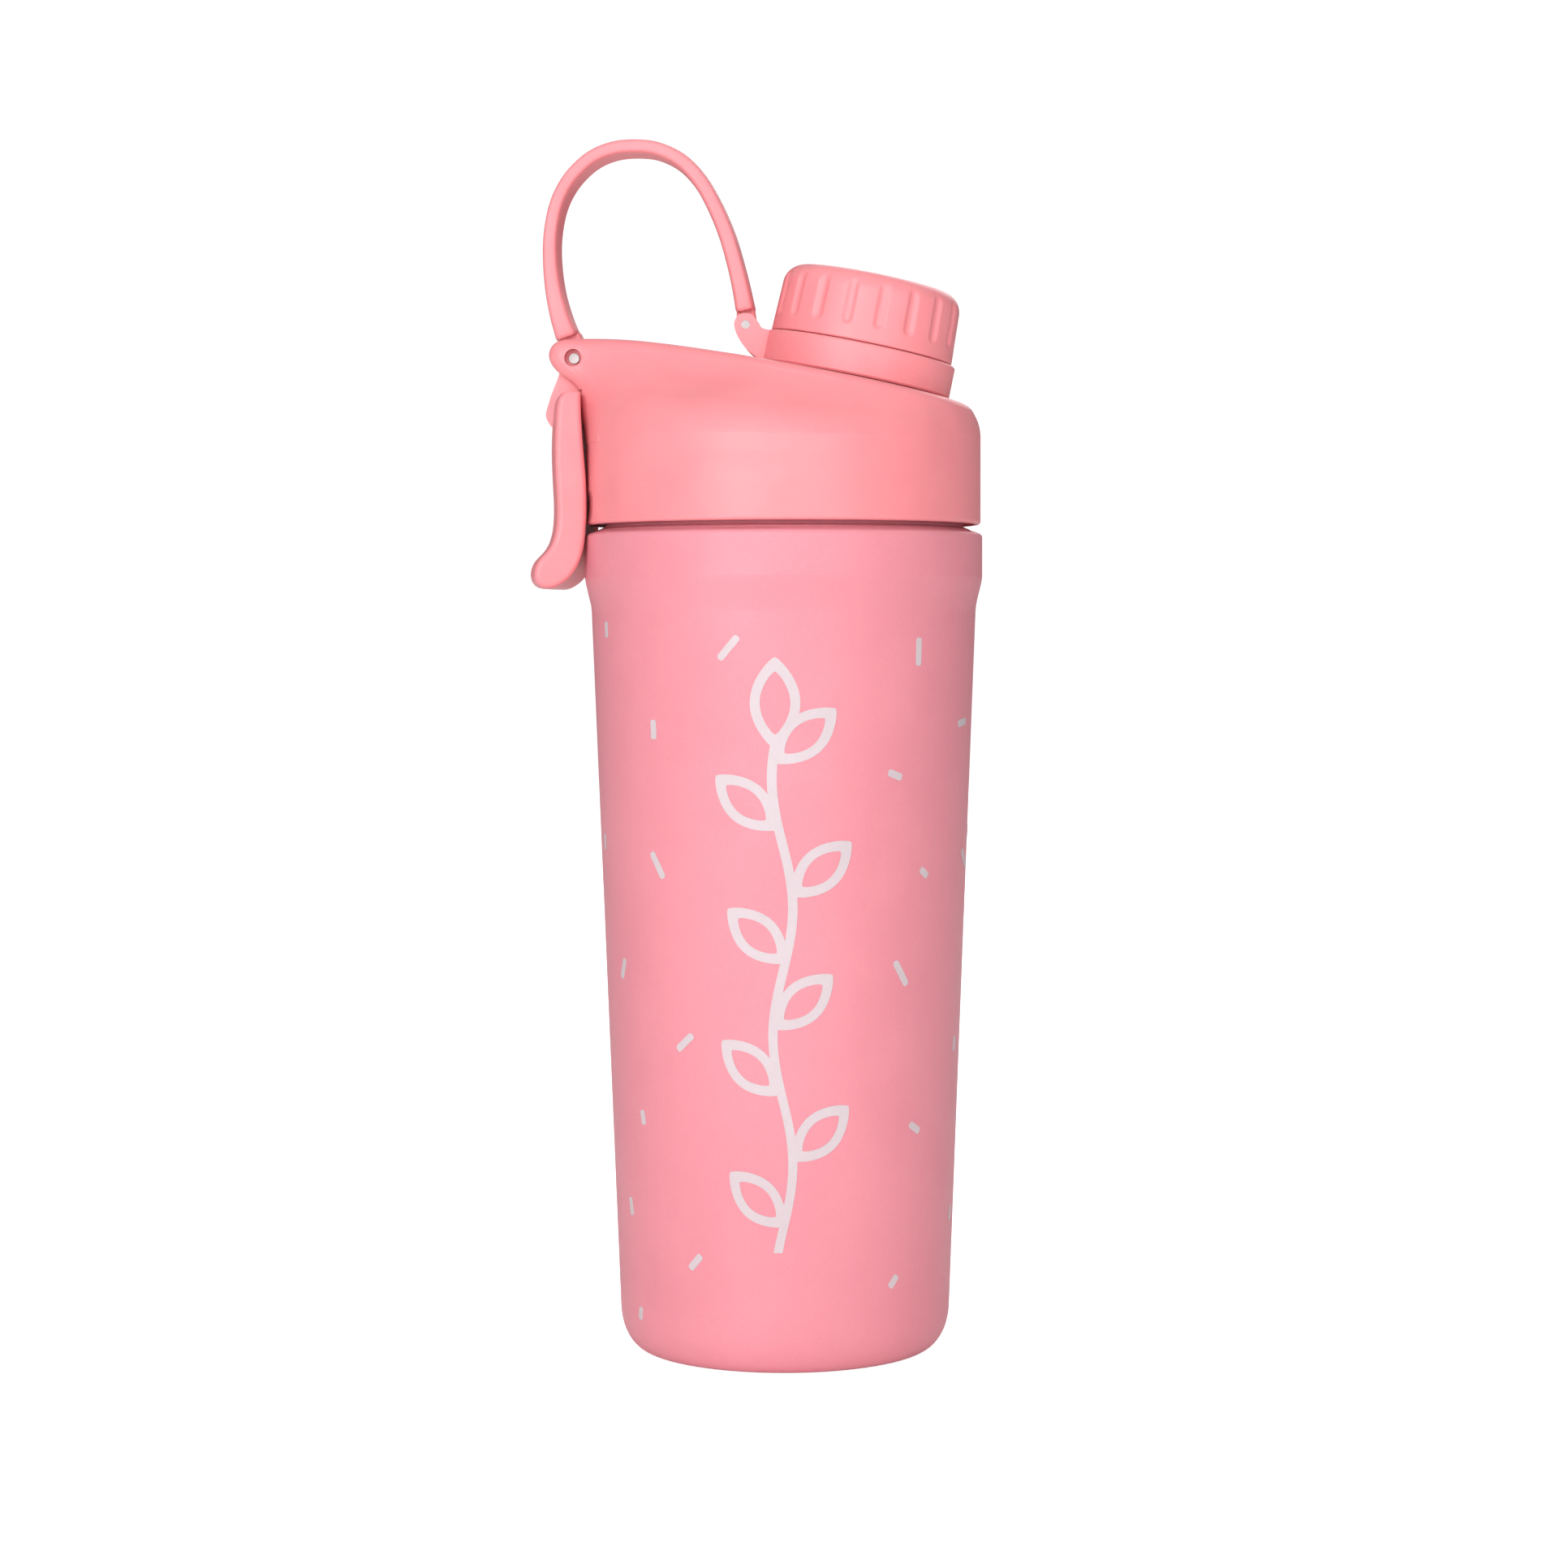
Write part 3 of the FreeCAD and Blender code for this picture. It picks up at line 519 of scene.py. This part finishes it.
# %% How far a groove is pressed in at a point
GROOVES, GROOVE_HALF, GROOVE_DEPTH, GROOVE_STEEPNESS = 18, 1.5, 0.62, 1.35
GROOVE_LOW, FADE_LOW, GROOVE_HIGH = 11.4, 20.3, 22.4
GROOVE_RADIUS, INNER_RADIUS, FLAT_RADIUS = 20.6, 19.5, 17.0
pitch = math.tau / GROOVES


def groove_press(x, y, z):
    """The depth of a groove here: none on the inside, the rim and the flat top."""
    radius = math.hypot(x, y)
    inside = radius < INNER_RADIUS and z < CAP_SIDE_TOP
    if inside or radius < FLAT_RADIUS or z < CAP_LOW + 0.4:
        return 0.0
    aside = abs((math.atan2(y, x) + pitch / 2) % pitch - pitch / 2) * GROOVE_RADIUS
    below = max(GROOVE_LOW + GROOVE_HALF - z, 0.0)
    away = math.hypot(aside, below) / GROOVE_HALF
    fade = 1.0 - smooth_step((z - FADE_LOW) / (GROOVE_HIGH - FADE_LOW))
    return GROOVE_DEPTH * smooth_step((1.0 - away) * GROOVE_STEEPNESS) * fade


# %% Spin the cap, press its grooves in and lean it like the spout
TILT = math.radians(11.5)
SPOUT_FOOT = Vector((16.2, 0.0, 220.8))
CAP_STEPS = 360
cap = bmesh.new()
spin_profile(cap, cap_profile, CAP_STEPS)
for v in cap.verts:
    press = groove_press(*v.co)
    if press:
        radius = math.hypot(v.co.x, v.co.y)
        v.co.x *= (radius - press) / radius
        v.co.y *= (radius - press) / radius
lean = Matrix.Translation(SPOUT_FOOT) @ Matrix.Rotation(TILT, 4, "Y")
bmesh.ops.transform(cap, matrix=lean, verts=cap.verts)
screw_cap = finish_piece(cap, "screw_cap", moulded_lid, "cap", smooth_angle=60.0)
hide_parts("cap_shell")

# %% [markdown]
# ## The print on the vessel
# The vessel carries small off-white bars, scattered like sugar strands, and a tall sprig up its front. An
# image texture would blur close up, so the ink is a real layer a few hundredths of a millimetre proud of the
# paint. Each mark is drawn flat, given its thickness, then wrapped round the taper.

# %% Wrap flat artwork onto the taper
BASE_RADIUS, SIDE_TAPER = 37.47, 0.03794
INK_LIFT = 0.07


def wrap(bm, heading, height):
    """Flat artwork in millimetres (x across, y up) goes onto the side at a heading and height."""
    for v in bm.verts:
        z = height + v.co.y
        r = BASE_RADIUS + SIDE_TAPER * z + v.co.z
        turn = math.radians(heading) + v.co.x / (BASE_RADIUS + SIDE_TAPER * height)
        v.co = (r * math.sin(turn), -r * math.cos(turn), z)


def raise_ink(bm):
    """Give flat artwork a thin edge, so that it catches light as ink does."""
    out = bmesh.ops.extrude_face_region(bm, geom=bm.faces[:])["geom"]
    for item in out:
        if isinstance(item, bmesh.types.BMVert):
            item.co.z += INK_LIFT


def join_into(target, part):
    """Add one bmesh to another and free it."""
    scratch = bpy.data.meshes.new("scratch")
    part.to_mesh(scratch)
    part.free()
    target.from_mesh(scratch)
    bpy.data.meshes.remove(scratch)


# %% One bar
BAR_WIDTH, BAR_CORNER = 1.65, 0.20


def bar(length, lean):
    """One printed bar with rounded corners, its middle at the origin."""
    bm = bmesh.new()
    bmesh.ops.create_grid(bm, x_segments=4, y_segments=12, size=0.5)
    corner = BAR_CORNER * BAR_WIDTH
    for v in bm.verts:
        x, y = v.co.x * 2, v.co.y * 2
        end = max(abs(y) * length / 2 - (length / 2 - corner), 0.0)
        half = BAR_WIDTH / 2 - corner + math.sqrt(max(corner * corner - end * end, 0.0))
        v.co = (x * half, y * length / 2, 0.0)
    bmesh.ops.rotate(bm, cent=(0, 0, 0), matrix=Matrix.Rotation(-math.radians(lean), 3, "Z"), verts=bm.verts)
    return bm


# %% [markdown]
# The bars on the front have their own places. The rest of the way round they are scattered by a seeded
# random draw on a staggered grid, which keeps them apart without looking regular.

# %% Where the bars lie: heading from the front, height, lean from upright, length
FRONT_BARS = [
    (-62, 165, 0, 3.6), (-13, 161, 41, 6.6), (46, 160, 0, 6.2), (-39, 143, 0, 4.3), (72, 144, 84, 5.4),
    (38, 133, 110, 3.9), (-72, 117, 0, 3.6), (-39, 113, -31, 6.6), (51, 111, 125, 3.0), (80, 113, -50, 6.4),
    (-59, 89, 22, 4.8), (42, 89, -33, 6.6), (-30, 74, 49, 5.4), (76, 71, 5, 3.4), (-50, 56, -10, 3.3),
    (50, 54, 122, 3.8), (-60, 35, -10, 4.1), (79, 32, 20, 3.6), (-28, 25, 42, 4.4), (42, 20, 40, 3.2),
    (-56, 11, 12, 3.0),
]
ROWS, FIRST_HEIGHT, ROW_STEP, HEIGHT_STRAY = 12, 16, 13.2, 3.5
COLUMNS, FIRST_HEADING, COLUMN_STEP, HEADING_STRAY = 4, 98, 42, 7
LENGTHS = (3.2, 4.2, 5.4, 6.4)
random.seed(7)
bars = list(FRONT_BARS)
for row in range(ROWS):
    stagger = COLUMN_STEP / 2 if row % 2 else 0
    for column in range(COLUMNS):
        heading = FIRST_HEADING + column * COLUMN_STEP + stagger
        heading += random.uniform(-HEADING_STRAY, HEADING_STRAY)
        height = FIRST_HEIGHT + row * ROW_STEP + random.uniform(-HEIGHT_STRAY, HEIGHT_STRAY)
        bars.append((heading, height, random.uniform(-90, 90), random.choice(LENGTHS)))
print("bars", len(bars))

# %% Print the bars
strands = bmesh.new()
for heading, height, lean, length in bars:
    one = bar(length, lean)
    raise_ink(one)
    wrap(one, heading, height)
    join_into(strands, one)
printed_bars = finish_piece(strands, "printed_bars", print_ink, "vessel", smooth_angle=50.0)

# %% [markdown]
# ## The sprig
# The tall ornament is a plain sprig of leaves in an outlined style: a wavy stem with leaves that alternate
# up it. Each leaf is a circle pulled to points. An even inset would fold over itself at the points, so a
# thin inset is made first and then shrunk to a smaller leaf, which leaves the ink line round it.

# %% One leaf
INK_LINE, INSET = 2.1, 0.01


def leaf(length, width):
    """The outline of a leaf that grows up from the origin."""
    bm = bmesh.new()
    bmesh.ops.create_circle(bm, cap_ends=True, radius=1.0, segments=48)
    for v in bm.verts:
        t = (v.co.y + 1) / 2
        swell = math.sin(math.pi * min(max(t, 0.0), 1.0)) ** 0.75
        x = math.copysign(swell, v.co.x) * width / 2 if abs(v.co.x) > 1e-5 else 0.0
        v.co = (x, t * length, 0.0)
    hole = bm.faces[:]
    bmesh.ops.inset_region(bm, faces=hole, thickness=INSET, use_boundary=True)
    for v in {v for face in hole for v in face.verts}:
        v.co.x *= 1 - 2 * INK_LINE / width
        v.co.y = length / 2 + (v.co.y - length / 2) * (1 - 3 * INK_LINE / length)
    bmesh.ops.delete(bm, geom=hole, context="FACES_ONLY")
    return bm


# %% The stem, then leaves to its left and right and one at its tip
SPRIG_LOW, SPRIG_HIGH = -62.0, 50.0
WAVE_WIDTH, WAVE_LENGTH = 2.2, 9.0
LEAVES, LEAF_LEAN, LEAF_LIFT = 8, math.radians(48), 0.015


def stem_at(y):
    return WAVE_WIDTH * math.sin(y / WAVE_LENGTH)


def add_leaf(length, width, y, root, turn=0.0):
    """A leaf on the stem at a height, its root a little lower, a hair above the stem's ink."""
    one = leaf(length, width)
    place = Matrix.Translation((stem_at(y), y - root, LEAF_LIFT)) @ Matrix.Rotation(turn, 4, "Z")
    bmesh.ops.transform(one, matrix=place, verts=one.verts)
    join_into(sprig, one)


sprig = bmesh.new()
bmesh.ops.create_grid(sprig, x_segments=2, y_segments=90, size=0.5)
for v in sprig.verts:
    y = SPRIG_LOW + (v.co.y + 0.5) * (SPRIG_HIGH - SPRIG_LOW)
    v.co = (stem_at(y) + v.co.x * INK_LINE, y, 0.0)
for k in range(LEAVES):
    y = SPRIG_LOW + 8 + k * (SPRIG_HIGH - SPRIG_LOW - 10) / (LEAVES - 1)
    add_leaf(17.5, 9.5, y, 2, -LEAF_LEAN if k % 2 else LEAF_LEAN)
add_leaf(20.0, 10.5, SPRIG_HIGH, 1)

# %% Print the sprig
SPRIG_HEADING, SPRIG_MIDDLE = 2.5, 90.0
raise_ink(sprig)
wrap(sprig, SPRIG_HEADING, SPRIG_MIDDLE)
printed_sprig = finish_piece(sprig, "printed_sprig", print_ink, "vessel", smooth_angle=50.0)

# %% [markdown]
# ## Studio
# The bottle stands on white before white. Surroundings bright enough to look like paper would flood its
# sides with light, so the floor and the surround bleach out only where the camera looks straight at them,
# and give the bottle a dimmer light.

# %% Floor
FLOOR_SIZE, FLOOR_BLEACH = 3000.0, 0.8
floor = bmesh.new()
bmesh.ops.create_grid(floor, x_segments=1, y_segments=1, size=FLOOR_SIZE)
floor_material = bpy.data.materials.new("studio_floor")
floor_material.use_nodes = True
floor_tree = floor_material.node_tree
floor_shader = floor_tree.nodes["Principled BSDF"]
floor_shader.inputs["Base Color"].default_value = (0.92, 0.92, 0.92, 1)
floor_shader.inputs["Roughness"].default_value = 0.7
floor_shader.inputs["Emission Color"].default_value = (1, 1, 1, 1)
straight_view = floor_tree.nodes.new("ShaderNodeLightPath").outputs["Is Camera Ray"]
bleach = math_node(floor_tree, "MULTIPLY", straight_view, FLOOR_BLEACH)
floor_tree.links.new(bleach, floor_shader.inputs["Emission Strength"])
studio_floor = finish_piece(floor, "studio_floor", floor_material)

# %% [markdown]
# A large soft light stands at the front left and makes the broad bright band down the bottle. A weaker one
# at the front right opens the shadow side, and a faint one behind lights the back.

# %% Lights
MIDDLE = (0.0, 0.0, 0.15)


def soft_light(name, where, size, power):
    """An area light that faces the bottle's middle."""
    data = bpy.data.lights.new(name, "AREA")
    data.shape = "RECTANGLE"
    data.size, data.size_y = size
    data.energy = power
    lamp = bpy.data.objects.new(name, data)
    lamp.location = where
    lamp.rotation_euler = (Vector(MIDDLE) - Vector(where)).to_track_quat("-Z", "Y").to_euler()
    bpy.context.scene.collection.objects.link(lamp)


soft_light("key_light", (-0.40, -1.22, 0.50), (0.9, 0.85), 13.0)
soft_light("fill_light", (0.55, -1.15, 0.40), (0.6, 0.9), 5.2)
soft_light("rear_light", (0.30, 1.30, 0.95), (0.8, 0.8), 4.0)

# %% A surround that is brighter overhead
AMBIENT, OVERHEAD, SURROUND_BLEACH = 0.17, 0.55, 1.05
world = bpy.data.worlds.new("studio_surround")
world.use_nodes = True
sky = world.node_tree
direction = sky.nodes.new("ShaderNodeSeparateXYZ")
sky.links.new(sky.nodes.new("ShaderNodeTexCoord").outputs["Generated"], direction.inputs[0])
overhead = ramp_between(sky, direction.outputs["Z"], 0.25, 0.90)
glow = math_node(sky, "ADD", math_node(sky, "MULTIPLY", overhead, OVERHEAD), AMBIENT)
seen = sky.nodes.new("ShaderNodeLightPath").outputs["Is Camera Ray"]
strength = math_node(sky, "MAXIMUM", glow, math_node(sky, "MULTIPLY", seen, SURROUND_BLEACH))
sky.nodes["Background"].inputs["Color"].default_value = (1, 1, 1, 1)
sky.links.new(strength, sky.nodes["Background"].inputs["Strength"])
bpy.context.scene.world = world
bpy.context.scene.view_settings.view_transform = "Standard"
print("world", world.name)

# %% [markdown]
# The camera stands 800 mm off with a long lens, a little above the middle of the bottle and a little to its
# right. It looks slightly down and leans by an eighth of a degree.

# %% Camera
DISTANCE, CAMERA_HEIGHT = 800.0, 165.4
CAMERA_TURN, PITCH, ROLL = math.radians(3.0), math.radians(2.57), math.radians(-0.12)
camera_data = bpy.data.cameras.new("camera")
camera_data.lens, camera_data.sensor_width = 80.1, 36.0
camera_data.clip_start = 0.01
camera = bpy.data.objects.new("camera", camera_data)
camera.location = (DISTANCE * math.sin(CAMERA_TURN) * MM, -DISTANCE * math.cos(CAMERA_TURN) * MM,
                   CAMERA_HEIGHT * MM)
turned, tipped = Matrix.Rotation(CAMERA_TURN, 3, "Z"), Matrix.Rotation(math.pi / 2 - PITCH, 3, "X")
aim = turned @ tipped @ Matrix.Rotation(ROLL, 3, "Z")
camera.rotation_euler = aim.to_euler()
bpy.context.scene.collection.objects.link(camera)
bpy.context.scene.camera = camera
print("camera at", tuple(round(c, 3) for c in camera.location))

# %% Keep the sizes and finish
bpy.context.view_layer.update()
